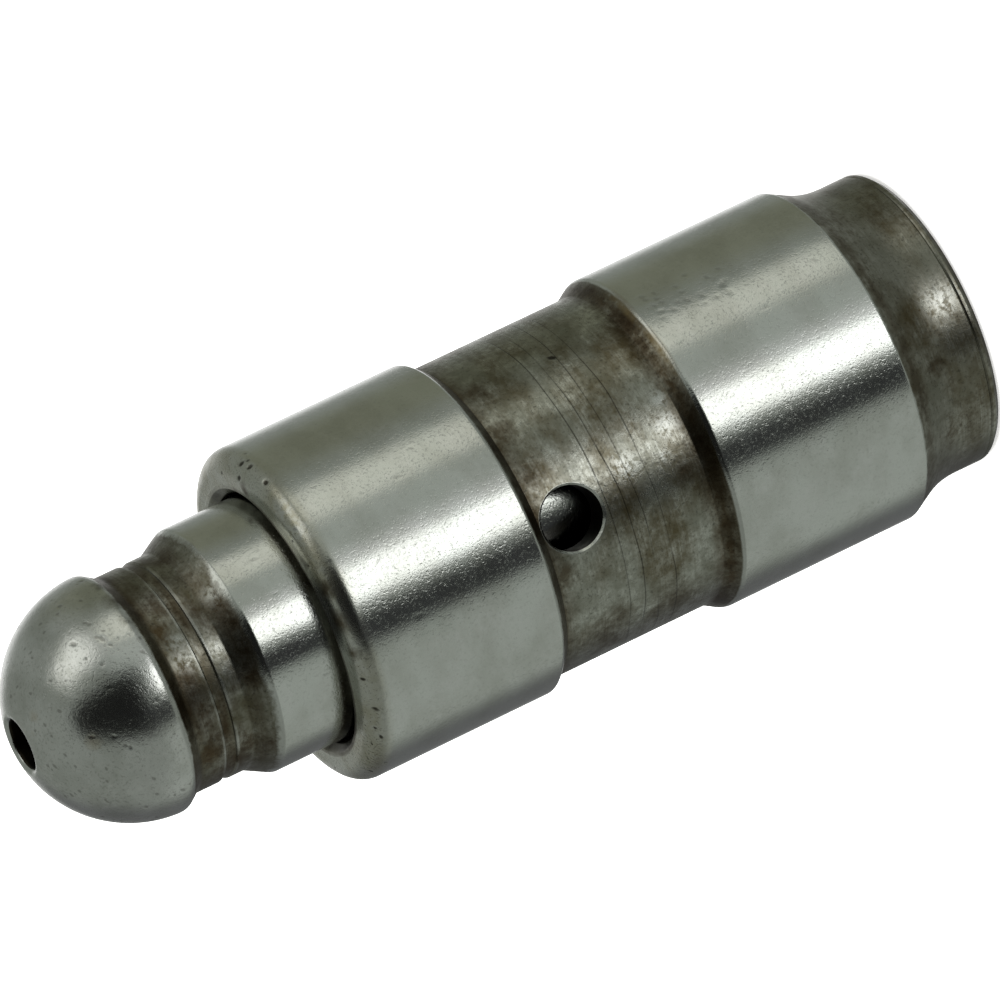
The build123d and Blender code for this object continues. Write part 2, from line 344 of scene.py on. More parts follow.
# materials by zone: a rule gives each face's material from its radius and height in millimetres
def finishPiece(piece, materials, zoneOf):
    mesh = piece.data
    mesh.materials.clear()
    for material in materials:
        mesh.materials.append(material)
    centres = np.zeros(len(mesh.polygons) * 3)
    mesh.polygons.foreach_get("center", centres)
    centres = centres.reshape(-1, 3) / mm
    zones = zoneOf(np.hypot(centres[:, 0], centres[:, 1]), centres[:, 2], centres)
    mesh.polygons.foreach_set("material_index", zones.astype(np.int32))
    mesh.shade_smooth()
    mesh.set_sharp_from_angle(angle=math.radians(sharpAngle["turned"]))
    mesh.update()


# Materials. Every pattern is laid out in the piece's own millimetres, so it turns and slides with the piece.

# cloudy pattern between 0 and 1, with its features this many millimetres wide, each way; low and high are where
# the noise becomes 0 and 1, and the shift keeps patterns of one width from lying alike
def cloud(tree, at, width, detail=3.0, roughness=0.55, low=0.35, high=0.65, shift=0.0):
    stretched = addNode(tree, "Mapping", {
        "Vector": at, "Location": (shift, shift * 0.7, shift * 1.3), "Scale": [1 / w for w in width]})[0]
    noise = addNode(tree, "TexNoise", {
        "Vector": stretched, "Scale": 1.0, "Detail": detail, "Roughness": roughness})["Fac"]
    return addNode(tree, "MapRange", {"Value": noise, "From Min": low, "From Max": high})[0]


# 1 between two limits, fading over a width at each
def between(tree, value, low, high, fade):
    rise = addNode(tree, "MapRange", {"Value": value, "From Min": low - fade / 2, "From Max": low + fade / 2})[0]
    fall = addNode(tree, "MapRange", {
        "Value": value, "From Min": high - fade / 2, "From Max": high + fade / 2, "To Min": 1.0, "To Max": 0.0})[0]
    return joinMasks(tree, [rise, fall])


# The patterns that all finishes share: how wide their features are each way in millimetres, then the noise's
# detail and roughness, where it becomes 0 and 1, and its shift. Real grinding marks are a few micrometres wide,
# here the finest patterns are 0.05 to 0.1 mm so that they show.
sharedPatterns = {
    "grain": ((0.055, 0.055, 0.055), 2.0, 0.6, 0.0, 1.0, 0.0),
    "lines": ((2.5, 2.5, 0.06), 2.0, 0.6, 0.2, 0.8, 4.0),
    "fine": ((0.24, 0.24, 0.2), 4.0, 0.65, 0.34, 0.66, 6.0),
    "broad": ((1.4, 1.4, 1.1), 5.0, 0.62, 0.36, 0.64, 0.0),
    "tone": ((2.6, 2.6, 1.6), 3.0, 0.5, 0.4, 0.6, 12.0),
    "wave": ((1.7, 1.7, 1.7), 1.0, 0.5, 0.0, 1.0, 9.0),
    "specks": ((0.10, 0.10, 0.10), 2.0, 0.6, 0.54, 0.74, 5.0),
}
raggedShare = {"fine": 0.35, "broad": 0.65}      # ragged borders follow both


def newMetal(name):
    material = bpy.data.materials.new(name)
    material.use_nodes = True
    tree = material.node_tree
    tree.nodes.clear()
    place = addNode(tree, "TexCoord")["Object"]
    at = addNode(tree, "VectorMath", {0: place, "Scale": 1 / mm}, operation="SCALE")[0]
    split = addNode(tree, "SeparateXYZ", {0: at})
    spoke = addNode(tree, "CombineXYZ", {0: split["X"], 1: split["Y"]})[0]
    patterns = {
        "at": at, "height": split["Z"],
        "radius": addNode(tree, "VectorMath", {0: spoke}, operation="LENGTH")["Value"],
        "dent": addNode(tree, "Attribute", attribute_name="dent")["Fac"],
    }
    for pattern, look in sharedPatterns.items():
        patterns[pattern] = cloud(tree, at, *look)
    ragged = 0.0
    for pattern, share in raggedShare.items():
        ragged = addNode(tree, "Math", {0: patterns[pattern], 1: share, 2: ragged}, operation="MULTIPLY_ADD")[0]
    patterns["ragged"] = ragged
    return material, tree, patterns


# One finish of a material: two tones, bare steel where it is rubbed, and dirt in its dents and specks.
# Heights of its relief are in micrometres, below 0 for pits. Dirt fills a dent from one share of its depth to
# another.
dirt = {"from": 0.1, "to": 0.55, "roughens": 0.15}


def layFinish(tree, patterns, look):
    shade = addNode(tree, "Mix", {
        0: patterns["tone"], 6: hexColour(look["base"]), 7: hexColour(look["second"])}, data_type="RGBA")[2]
    fading = addNode(tree, "MapRange", {"Value": patterns["fine"], "To Min": 0.25})[0]
    streaked = addNode(tree, "MapRange", {"Value": patterns["lines"], "To Min": 1 - look["streaks"]})[0]
    share = joinMasks(tree, [patterns["broad"], fading, streaked, look["bareShare"]])
    shade = addNode(tree, "Mix", {0: share, 6: shade, 7: hexColour(look["bare"])}, data_type="RGBA")[2]
    specked = joinMasks(tree, [patterns["specks"], look["speckShare"]])
    filled = addNode(tree, "MapRange", {
        "Value": patterns["dent"], "From Min": dirt["from"], "From Max": dirt["to"], "To Max": look["dentShare"]})[0]
    dirty = joinMasks(tree, [specked, filled], "MAXIMUM")
    shade = addNode(tree, "Mix", {0: dirty, 6: shade, 7: hexColour(look["dirt"])}, data_type="RGBA")[2]
    dull, bright = look["roughness"]
    rough = addNode(tree, "MapRange", {"Value": share, "To Min": dull, "To Max": bright})[0]
    rough = addNode(tree, "Math", {0: dirty, 1: dirt["roughens"], 2: rough}, operation="MULTIPLY_ADD")[0]
    relief = 0.0
    for pattern, rise in look["relief"].items():
        relief = addNode(tree, "Math", {0: patterns[pattern], 1: rise, 2: relief}, operation="MULTIPLY_ADD")[0]
    return {"colour": shade, "roughness": rough, "relief": relief}


def overlay(tree, mask, below, above):
    shade = addNode(tree, "Mix", {0: mask, 6: below["colour"], 7: above["colour"]}, data_type="RGBA")[2]
    blended = {"colour": shade}
    for name in ("roughness", "relief"):
        blended[name] = addNode(tree, "Mix", {0: mask, 2: below[name], 3: above[name]})[0]
    return blended


# a thin film of colour over a finish, where the masks hold
def tintFinish(tree, finish, masks, code):
    film = joinMasks(tree, masks)
    return {**finish, "colour": addNode(tree, "Mix", {
        0: film, 6: finish["colour"], 7: hexColour(code)}, data_type="RGBA")[2]}


def shadeMetal(tree, finish):
    bump = addNode(tree, "Bump", {
        "Height": finish["relief"], "Distance": 0.001 * mm, "Strength": 1.0})[0]      # relief is in micrometres
    shader = addNode(tree, "BsdfPrincipled", {
        "Base Color": finish["colour"], "Roughness": finish["roughness"], "Normal": bump, "Metallic": 1.0})[0]
    addNode(tree, "OutputMaterial", {"Surface": shader})


# the height with a ragged offset of this many millimetres, for borders between finishes
def raggedHeight(tree, patterns, span):
    lowered = addNode(tree, "Math", {0: patterns["height"], 1: span / 2}, operation="SUBTRACT")[0]
    return addNode(tree, "Math", {0: patterns["ragged"], 1: span, 2: lowered}, operation="MULTIPLY_ADD")[0]


# 1 around places given by turn, radius, height and reach, with ragged rims
def patches(tree, patterns, places):
    spots = []
    for turn, radius, height, reach in places:
        around = math.radians(turn)
        centre = (radius * math.cos(around), radius * math.sin(around), height)
        away = addNode(tree, "VectorMath", {0: patterns["at"], 1: centre}, operation="DISTANCE")["Value"]
        away = addNode(tree, "Math", {0: patterns["ragged"], 1: 0.9 * reach, 2: away}, operation="MULTIPLY_ADD")[0]
        spots.append(addNode(tree, "MapRange", {
            "Value": away, "From Min": 0.6 * reach, "From Max": 1.6 * reach, "To Min": 1.0, "To Max": 0.0})[0])
    return joinMasks(tree, spots, "MAXIMUM")


# thin scratches round the piece at their own heights, broken up along their way; they wander by this much, and
# from this far off their middle they fade, in millimetres
scratchWay = {"every": 4.0, "wander": 0.16, "core": 0.008, "edge": 0.028}


def ringScratches(tree, patterns, heights):
    rings = []
    every, drift = scratchWay["every"], scratchWay["wander"]
    for height in heights:
        wander = cloud(tree, patterns["at"], (every, every, every), 1.0, 0.5, 0.3, 0.7, height)
        off = addNode(tree, "Math", {0: patterns["height"], 1: height + drift / 2}, operation="SUBTRACT")[0]
        off = addNode(tree, "Math", {0: wander, 1: drift, 2: off}, operation="MULTIPLY_ADD")[0]
        off = addNode(tree, "Math", {0: off}, operation="ABSOLUTE")[0]
        ring = addNode(tree, "MapRange", {
            "Value": off, "From Min": scratchWay["core"], "From Max": scratchWay["edge"],
            "To Min": 1.0, "To Max": 0.0})[0]
        broken = addNode(tree, "MapRange", {"Value": wander, "From Min": 0.05, "From Max": 0.5})[0]
        rings.append(joinMasks(tree, [ring, broken]))
    return joinMasks(tree, rings, "MAXIMUM")


finishes = {
    # ground and run in: a bright grey mirror that fine grain breaks into sparks, with oil left only in its dents
    "ground": {"base": "#c1c5bf", "second": "#b4b7b0", "bare": "#c8cac6", "dirt": "#3b372d", "bareShare": 0.8,
               "streaks": 0.3, "speckShare": 0.12, "dentShare": 0.2, "roughness": (0.16, 0.11),
               "relief": {"grain": 2.4, "lines": 0.2, "fine": 0.9, "wave": 3.0, "specks": -2.6}},
    # nose and mouth: the same steel, scuffed dull by handling and warm with old oil
    "scuffed": {"base": "#b4b6ac", "second": "#9c9a87", "bare": "#c3c5bf", "dirt": "#2a251b", "bareShare": 0.7,
                "streaks": 0.0, "speckShare": 0.4, "dentShare": 0.9, "roughness": (0.28, 0.20),
                "relief": {"grain": 2.8, "lines": 0.0, "fine": 1.8, "wave": 3.0, "specks": -1.5}},
    # turned, then stained by hot oil: a dull olive-grey film, worn through in clouds and along the tool's lines
    "varnish": {"base": "#808175", "second": "#5f5843", "bare": "#c8cbc2", "dirt": "#1d1912", "bareShare": 1.0,
                "streaks": 0.7, "speckShare": 0.4, "dentShare": 0.9, "roughness": (0.31, 0.18),
                "relief": {"grain": 2.6, "lines": 1.6, "fine": 2.4, "wave": 3.0, "specks": -1.5}},
    # the same oil baked on thickly beside the steps and in the corners: dark brown and nearly dull
    "baked": {"base": "#4d3f2b", "second": "#32281c", "bare": "#736c57", "dirt": "#0f0c08", "bareShare": 0.7,
              "streaks": 0.4, "speckShare": 0.5, "dentShare": 0.9, "roughness": (0.40, 0.30),
              "relief": {"grain": 2.2, "lines": 0.6, "fine": 3.5, "wave": 3.0, "specks": -1.5}},
    # the neck behind the ball, never rubbed by a bore: brown film with bright worn places, in strong contrast
    "neck": {"base": "#636151", "second": "#453a29", "bare": "#babcb3", "dirt": "#17120c", "bareShare": 0.75,
             "streaks": 0.6, "speckShare": 0.4, "dentShare": 0.9, "roughness": (0.36, 0.22),
             "relief": {"grain": 2.6, "lines": 1.2, "fine": 3.0, "wave": 4.0, "specks": -1.5}},
    # the ball: ground to a sphere and dulled by its socket, a soft silver sheen with faint specks
    "satin": {"base": "#c4c7c2", "second": "#aeb1aa", "bare": "#cfd1cd", "dirt": "#4a463b", "bareShare": 0.8,
              "streaks": 0.0, "speckShare": 0.3, "dentShare": 0.42, "roughness": (0.21, 0.16),
              "relief": {"grain": 2.6, "lines": 0.1, "fine": 2.2, "wave": 3.0, "specks": -2.8}},
}


beyond = 99.0            # millimetres, higher than any piece

# Housing outside: ground bearing steel, with oil varnish in the groove and on the rear neck
def makeHousingSteel(marks):
    material, tree, patterns = newMetal("ground and oil-varnished bearing steel")
    layers = {name: layFinish(tree, patterns, finishes[name]) for name in ("ground", "scuffed", "varnish", "baked")}
    level, height = patterns["height"], raggedHeight(tree, patterns, marks["ragged"])
    stained = joinMasks(tree, [between(tree, height, -1.0, marks["neckTop"], 0.05),
                               between(tree, height, *marks["groove"], 0.05)], "ADD")
    # baked oil: rings beside the steps, spots, and a thin film on the rear neck
    baked = []
    for centre, reach, density in marks["baked"]:
        away = addNode(tree, "Math", {0: level, 1: centre}, operation="SUBTRACT")[0]
        away = addNode(tree, "Math", {0: away}, operation="ABSOLUTE")[0]
        away = addNode(tree, "Math", {0: patterns["ragged"], 1: 0.5 * reach, 2: away}, operation="MULTIPLY_ADD")[0]
        baked.append(addNode(tree, "MapRange", {
            "Value": away, "From Min": 0.35 * reach, "From Max": 1.55 * reach, "To Min": density, "To Max": 0.0})[0])
    baked.append(joinMasks(tree, [patches(tree, patterns, marks["bakedSpots"]), marks["bakedShare"]]))
    film = addNode(tree, "MapRange", {"Value": patterns["ragged"], "To Min": 0.1, "To Max": marks["neckBaked"]})[0]
    baked.append(joinMasks(tree, [between(tree, level, 0.2, marks["neckTop"] - 0.5, 0.4), film]))
    baked = joinMasks(tree, [joinMasks(tree, baked, "MAXIMUM"), stained])
    # grime of the mouth with painted shade: by radius, on the face only, and lighter on the side the light comes from
    fading = addNode(tree, "MapRange", {
        "Value": patches(tree, patterns, marks["litSideSpots"]), "To Min": 1.0, "To Max": 0.15})[0]
    uneven = addNode(tree, "MapRange", {"Value": patterns["tone"], "To Min": 0.55})[0]
    grimeAndShade = joinMasks(tree, [between(tree, patterns["radius"], 0.0, marks["mouthRadius"], 0.08),
                             between(tree, level, marks["mouthHeight"], beyond, 0.1), fading, uneven])
    spots = joinMasks(tree, [patches(tree, patterns, marks["grimeAndShadeSpots"]), marks["grimeAndShadeShare"]])
    grimeAndShade = joinMasks(tree, [grimeAndShade, spots], "MAXIMUM")
    flecks = addNode(tree, "MapRange", {
        "Value": patterns["fine"], "From Min": 0.2, "From Max": 0.6, "To Max": marks["wornShare"]})[0]
    sparkle = joinMasks(tree, [patches(tree, patterns, marks["wornSpots"]), flecks])
    dulled = between(tree, height, marks["mouthHeight"] - 0.2, beyond, 0.5)
    finish = overlay(tree, dulled, layers["ground"], layers["scuffed"])
    finish = overlay(tree, stained, finish, layers["varnish"])
    finish = overlay(tree, baked, finish, layers["baked"])
    # old oil turned gold along the groove's rear edge
    gold = [between(tree, height, *marks["goldBand"], 0.12), patches(tree, patterns, marks["goldSpots"])]
    finish = tintFinish(tree, finish, gold + [marks["goldShare"]], marks["gold"])
    finish = overlay(tree, grimeAndShade, finish, layers["baked"])
    # painted shade of the gap: over the grime, the lip is painted near black
    lip = between(tree, patterns["radius"], 0.0, marks["lipRadius"], 0.12)
    finish = tintFinish(tree, finish, [grimeAndShade, lip, marks["lipShare"]], marks["lipShade"])
    finish = overlay(tree, sparkle, finish, layers["ground"])
    # the rim of the oil hole, deburred to bright steel: by the distance from the hole's own axis
    hole = housingSizes["oilHole"]
    away = addNode(tree, "VectorMath", {
        0: patterns["at"], 1: (0, -landRadius, hole["height"])}, operation="SUBTRACT")[0]
    away = addNode(tree, "VectorMath", {0: away, 1: (1, marks["rimReach"], 1)}, operation="MULTIPLY")[0]
    away = addNode(tree, "VectorMath", {0: away}, operation="LENGTH")["Value"]
    worn = addNode(tree, "MapRange", {"Value": patterns["fine"], "To Min": 0.5})[0]
    rim = joinMasks(tree, [between(tree, away, 0.0, hole["radius"] + marks["rimWidth"], 0.03), worn])
    finish = overlay(tree, rim, finish, layers["ground"])
    scratch = joinMasks(tree, [ringScratches(tree, patterns, marks["scratches"]), stained])
    finish = tintFinish(tree, finish, [scratch, marks["scratchShare"]], marks["scratchColour"])
    # faint turned rings on the face round the mouth
    spacing = addNode(tree, "Math", {0: patterns["radius"], 1: marks["faceRing"]}, operation="DIVIDE")[0]
    rings = addNode(tree, "TexNoise", {"W": spacing, "Scale": 1.0, "Detail": 1.0}, noise_dimensions="1D")["Fac"]
    rings = joinMasks(tree, [rings, between(tree, level, marks["mouthHeight"] + 0.15, beyond, 0.2)])
    for mask, rise in ((scratch, -marks["scratchDepth"]), (rings, marks["faceRingDepth"])):
        finish["relief"] = addNode(tree, "Math", {
            0: mask, 1: rise, 2: finish["relief"]}, operation="MULTIPLY_ADD")[0]
    shadeMetal(tree, finish)
    return material


# Ball plunger outside: ground shank, stained neck and satin ball, with ragged borders between them
def makePlungerSteel(marks):
    material, tree, patterns = newMetal("ground, oil-baked and satin bearing steel")
    layers = {name: layFinish(tree, patterns, finishes[name]) for name in ("ground", "neck", "baked", "satin")}
    level, height = patterns["height"], raggedHeight(tree, patterns, marks["ragged"])
    above = addNode(tree, "MapRange", {
        "Value": height, "From Min": marks["shankEdge"] - 0.09, "From Max": marks["shankEdge"] + 0.09})[0]
    baked = [joinMasks(tree, [patches(tree, patterns, marks["bakedSpots"]), marks["bakedShare"]])]
    for low, high, density in marks["bakedBands"]:
        clouded = addNode(tree, "MapRange", {"Value": patterns["tone"], "To Min": density / 2, "To Max": density})[0]
        baked.append(joinMasks(tree, [between(tree, height, low, high, 0.15), clouded]))
    baked = joinMasks(tree, [joinMasks(tree, baked, "MAXIMUM"), above])
    flecks = addNode(tree, "MapRange", {
        "Value": patterns["fine"], "From Min": 0.1, "From Max": 0.8, "To Max": marks["wornShare"]})[0]
    worn = [joinMasks(tree, [patches(tree, patterns, marks["wornSpots"]), flecks])]
    # the lips of the clip groove, rubbed bright
    for low, high in marks["brightLips"]:
        worn.append(joinMasks(tree, [between(tree, level, low, high, 0.04), patterns["broad"], marks["wornShare"]]))
    worn = joinMasks(tree, [joinMasks(tree, worn, "MAXIMUM"), above])
    finish = overlay(tree, above, layers["ground"], layers["neck"])
    finish = overlay(tree, baked, finish, layers["baked"])
    finish = overlay(tree, worn, finish, layers["ground"])
    edge = addNode(tree, "Math", {0: patterns["ragged"], 1: 0.08, 2: level}, operation="MULTIPLY_ADD")[0]
    onBall = addNode(tree, "MapRange", {
        "Value": edge, "From Min": marks["ballEdge"], "From Max": marks["ballEdge"] + 0.07})[0]
    clean = addNode(tree, "MapRange", {
        "Value": patches(tree, patterns, marks["edgeSpots"]), "To Min": 1.0, "To Max": 0.3})[0]
    tanned = [patches(tree, patterns, marks["tanSpots"]), marks["tanShare"]]
    ball = tintFinish(tree, layers["satin"], tanned, marks["tan"])
    finish = overlay(tree, joinMasks(tree, [onBall, clean]), finish, ball)
    shadeMetal(tree, finish)
    return material


# The plain finishes: their two colours, how their roughness varies, how wide their patches and marks are in
# millimetres, and how high their marks stand in micrometres
def makePlainSteel(name, look):
    material, tree, patterns = newMetal(name)
    clouds = cloud(tree, patterns["at"], look["patch"], 4.0)
    marks = cloud(tree, patterns["at"], look["mark"], 2.0, 0.6, 0.0, 1.0, 3.0)
    steel, shade = hexColour(look["steel"]), hexColour(look["shade"])
    smooth, rough = look["roughness"]
    shadeMetal(tree, {
        "colour": addNode(tree, "Mix", {0: clouds, 6: steel, 7: shade}, data_type="RGBA")[2],
        "roughness": addNode(tree, "MapRange", {"Value": clouds, "To Min": smooth, "To Max": rough})[0],
        "relief": joinMasks(tree, [marks, look["markHeight"]])})
    return material


# lower plunger: ground like the lands
groundSteel = makePlainSteel("centreless-ground steel", {
    "steel": "#c3c5c0", "shade": "#b0b1ab", "roughness": (0.14, 0.24), "patch": (1.2, 1.2, 1.6),
    "mark": (2.0, 2.0, 0.06), "markHeight": 0.8})
# walls of the bore and the oil hole: wet with old oil, and painted near black as the shade inside them
oiledShadedSteel = makePlainSteel("oil-wetted bored steel, painted dark as shade", {
    "steel": "#38332a", "shade": "#17130e", "roughness": (0.34, 0.48), "patch": (0.9, 0.9, 0.9),
    "mark": (0.6, 0.6, 0.08), "markHeight": 2.0})
# bearing ball: lapped to a clear mirror
lappedSteel = makePlainSteel("lapped bearing steel", {
    "steel": "#cfcdc8", "shade": "#c2c0ba", "roughness": (0.06, 0.12), "patch": (0.5, 0.5, 0.5),
    "mark": (0.2, 0.2, 0.2), "markHeight": 0.1})
# cage: deep-drawn from bright sheet, with soft draw lines down its wall
drawnSheet = makePlainSteel("deep-drawn sheet steel", {
    "steel": "#a9a7a1", "shade": "#8d8a82", "roughness": (0.25, 0.38), "patch": (0.6, 0.6, 1.5),
    "mark": (0.08, 0.08, 1.2), "markHeight": 1.2})
# springs and the ring: hard-drawn wire, tempered to a brown-grey bloom
springWire = makePlainSteel("tempered spring wire", {
    "steel": "#7b756a", "shade": "#5b5246", "roughness": (0.30, 0.44), "patch": (0.7, 0.7, 0.7),
    "mark": (0.10, 0.10, 0.10), "markHeight": 1.0})
print("plain finishes made")

# Housing: heights in millimetres from the base up, radii from the axis

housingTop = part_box("housing")[1].z / mm
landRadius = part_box("housing")[1].x / mm
housingSizes = {
    "neckRadius": landRadius - 0.73, "neckChamfer": 0.2, "neckTop": 3.42, "neckFillet": 3.2,
    "neckCone": 28.0,                   # degrees from the axis
    "baseRing": (0.36, 0.05, 0.03),     # height, half width and depth of the tool mark above the base
    "rearLandTop": 10.47, "crest": 0.25, "grooveRadius": landRadius - 0.38, "grooveBottom": 11.10, "grooveTop": 17.15,
    "frontLand": 17.55, "edge": 0.12, "grooveCorner": 0.15, "nose": 0.72,
    "boreRadius": 4.53, "mouthChamfer": 0.25, "ringHeight": 23.05, "ringGroove": (4.95, 0.28), "shoulder": 5.12,
    "chamberRadius": 3.9, "chamberFillet": 0.4, "floorHeight": 2.3,
    "oilHole": {"radius": 1.1, "height": 15.97, "rim": 0.07, "corners": 96},
    # how far apart the rows of the mesh are: on edges, where dents are, on steps and at the oil hole, elsewhere
    # outside, and inside
    "rows": {"edge": 0.06, "dent": 0.11, "step": 0.15, "plain": 0.35, "hidden": 1.6},
    "segments": 400,
}
# Spots are (turn in degrees from +X, radius, height, reach), baked bands are (height, reach, density)
housingMarks = {
    "ragged": 0.06, "neckTop": 3.38, "groove": (10.58, 17.47), "neckBaked": 0.42,
    "baked": ((3.1, 0.35, 0.6), (0.05, 0.16, 0.8), (10.9, 0.55, 0.95), (17.25, 0.5, 0.75)),
    "bakedShare": 0.7, "bakedSpots": (
        (-72, 5.62, 16.8, 0.6), (-52, 5.62, 16.9, 0.7), (-34, 5.62, 16.6, 0.6), (-92, 5.62, 11.7, 0.5),
        (-108, 5.62, 16.9, 0.6), (-97, 5.27, 2.2, 0.6), (-126, 5.27, 1.9, 1.1), (-140, 5.62, 15.5, 1.2),
        (-143, 5.62, 13.0, 1.2)),
    "wornShare": 0.75, "wornSpots": (
        (-78, 5.27, 0.95, 0.8), (-75, 5.66, 11.7, 0.55), (-66, 5.66, 11.5, 0.35), (-84, 5.66, 12.2, 0.3),
        (-82, 5.62, 13.6, 0.6), (-54, 5.75, 24.6, 0.7), (-45, 5.75, 24.6, 0.6)),
    "gold": "#7f7150", "goldBand": (10.46, 10.74), "goldShare": 0.6,
    "goldSpots": ((-28, 5.95, 10.6, 1.0), (-52, 5.95, 10.6, 1.2)),
    # Round the mouth, grime and painted shade: the lip's colour is the painted shade of the gap, the first spots
    # below lift the shade on the lit side, and the later ones add grime and painted shade to the nose
    "mouthRadius": 4.90, "mouthHeight": 24.4, "lipRadius": 4.74, "lipShade": "#12100c", "lipShare": 0.75,
    "litSideSpots": ((5, 4.7, 24.7, 2.4), (30, 4.7, 24.7, 2.0)),
    "grimeAndShadeShare": 0.85, "grimeAndShadeSpots": (
        (-76, 5.65, 24.7, 0.4), (-88, 5.5, 24.75, 0.5), (-99, 5.6, 24.72, 0.4), (-64, 5.2, 24.75, 0.3),
        (-20, 5.1, 24.8, 0.3)),
    "rimReach": 0.15, "rimWidth": 0.085,
    "scratches": (14.70, 14.18, 12.95, 13.6), "scratchColour": "#17130d", "scratchShare": 0.6, "scratchDepth": 3.0,
    "faceRing": 0.05, "faceRingDepth": 4.0,      # spacing in millimetres, depths in micrometres
}


def oilHoleCutter(hole, surfaceRadius, insideRadius):
    turns = np.linspace(0, 2 * np.pi, hole["corners"], endpoint=False)

    def ring(radius, depth=None, inward=0.0):
        x = radius * np.cos(turns)
        y = -np.sqrt(surfaceRadius ** 2 - x ** 2) + inward if depth is None else np.full_like(x, -depth)
        return np.stack([x, y, hole["height"] + radius * np.sin(turns)], -1)
    rim = hole["rim"]
    rings = [ring(hole["radius"], insideRadius), ring(hole["radius"], None, rim), ring(hole["radius"] + rim),
             ring(hole["radius"] + 2 * rim, None, -rim), ring(hole["radius"] + 2 * rim, surfaceRadius + 1)]
    count = hole["corners"]
    points = np.vstack(rings)
    faces = [[k * count + i, k * count + (i + 1) % count, (k + 1) * count + (i + 1) % count, (k + 1) * count + i]
             for k in range(len(rings) - 1) for i in range(count)]
    faces.append(list(range(count))[::-1])
    faces.append(list(range(len(points) - count, len(points))))
    mesh = bpy.data.meshes.new("oil_hole_cutter")
    mesh.from_pydata((points * mm).tolist(), [], faces)
    sheet = bmesh.new()
    sheet.from_mesh(mesh)
    bmesh.ops.recalc_face_normals(sheet, faces=sheet.faces)
    sheet.to_mesh(mesh)
    sheet.free()
    cutter = bpy.data.objects.new("oil_hole_cutter", mesh)
    bpy.context.scene.collection.objects.link(cutter)
    return cutter


def buildHousing(s, dents):
    coneFoot = s["neckTop"] - (landRadius - s["neckRadius"]) / math.tan(math.radians(s["neckCone"]))
    ringMark, ringSpan, ringDepth = s["baseRing"]
    ringRadius, ringHalf = s["ringGroove"]
    corners = [
        (0, 0), (s["neckRadius"] - s["neckChamfer"], 0, 0.05), (s["neckRadius"], s["neckChamfer"], 0.04),
        (s["neckRadius"], ringMark - ringSpan), (s["neckRadius"] - ringDepth, ringMark),
        (s["neckRadius"], ringMark + ringSpan), (s["neckRadius"], coneFoot, s["neckFillet"]),
        (landRadius, s["neckTop"], s["edge"]), (landRadius, s["rearLandTop"], s["crest"]),
        (s["grooveRadius"], s["grooveBottom"], s["grooveCorner"]),
        (s["grooveRadius"], s["grooveTop"]), (landRadius, s["frontLand"], s["edge"]),
        (landRadius, housingTop, s["nose"]), (s["boreRadius"] + s["mouthChamfer"], housingTop, 0.04),
        (s["boreRadius"], housingTop - s["mouthChamfer"], 0.04),
        (s["boreRadius"], s["ringHeight"] + ringHalf), (ringRadius, s["ringHeight"] + ringHalf),
        (ringRadius, s["ringHeight"] - ringHalf), (s["boreRadius"], s["ringHeight"] - ringHalf),
        (s["boreRadius"], s["shoulder"]), (s["chamberRadius"], s["shoulder"]),
        (s["chamberRadius"], s["floorHeight"], s["chamberFillet"]), (0, s["floorHeight"]),
    ]
    hole, pitch = s["oilHole"], s["rows"]
    fine = ((s["rearLandTop"] - 0.1, s["grooveBottom"] + 0.1), (s["grooveTop"] - 0.1, s["frontLand"] + 0.1),
            (hole["height"] - hole["radius"] - 0.3, hole["height"] + hole["radius"] + 0.3))

    def pitchAt(point):
        if point.x < s["boreRadius"] + 0.01 or point.y < 0.5 and point.x < s["neckRadius"] - 0.4:
            return pitch["hidden"]
        if point.y > housingTop - 0.9 or point.y < 0.5:
            return pitch["edge"]
        if isDented(point.y, dents):
            return pitch["dent"]
        return pitch["step"] if any(low < point.y < high for low, high in fine) else pitch["plain"]
    piece = spin("housing_shell", turnedOutline(corners, pitchAt), s["segments"])
    drill(piece, oilHoleCutter(hole, s["grooveRadius"], s["boreRadius"] - 0.4))
    pressDents(piece, dents)
    return piece


slack = 0.02             # millimetres that a zone reaches past its wall, so that it takes the whole wall


# the bore, the ring groove and the wall of the oil hole are wet with oil and painted dark as shade
def housingZones(radius, height, centres):
    s = housingSizes
    inside = (radius < s["boreRadius"] + slack) & (height > 0.5) & (height < s["ringHeight"] + 0.5)
    inside |= (radius < s["ringGroove"][0] + slack) & (height > 1) & (height < housingTop - 1)
    hole = s["oilHole"]
    fromHole = np.hypot(centres[:, 0], height - hole["height"])
    inside |= (fromHole < hole["radius"] + slack / 4) & (centres[:, 1] < 0)
    return np.where(inside, 1, 0)


# Marks that the photograph shows, by turn in degrees from +X: dents and a slot on the nose, as dentAt takes them
noseMarks = (
    (-16, 5.87, 24.54, 37, 0.13, 0.045, 1.5, 60), (-21, 5.91, 24.47, 30, 0.12, 0.045, 1.6, 70),
    (-17, 5.45, 24.79, 80, 0.12, 0.04, 1.5, 40), (-32, 5.90, 24.49, 32, 0.13, 0.04, 1.2, 0),
    (-121, 5.87, 24.54, 37, 0.09, 0.05, 2.6, 75), (-134, 5.91, 24.47, 30, 0.09, 0.035, 1.8, 20),
    (-109, 5.71, 24.68, 54, 0.09, 0.03, 1.8, 80),
)
# the larger dents of the lands and the groove: turn, height, reach and stretch
landMarks = {"depth": 0.013, "lean": 50, "places": (
    (-53, 20.85, 0.10, 1.2), (-46, 19.8, 0.09, 1.4), (-43, 18.7, 0.09, 1.0), (-96, 22.3, 0.11, 1.6),
    (-31, 9.55, 0.10, 1.1), (-41, 9.4, 0.11, 1.3), (-39, 9.15, 0.10, 1.2), (-41, 8.3, 0.10, 1.5),
    (-42, 9.9, 0.10, 1.0), (-44, 7.9, 0.09, 1.5), (-55, 6.7, 0.09, 1.0), (-47, 4.34, 0.08, 2.4),
    (-34, 13.7, 0.12, 1.8),
)}
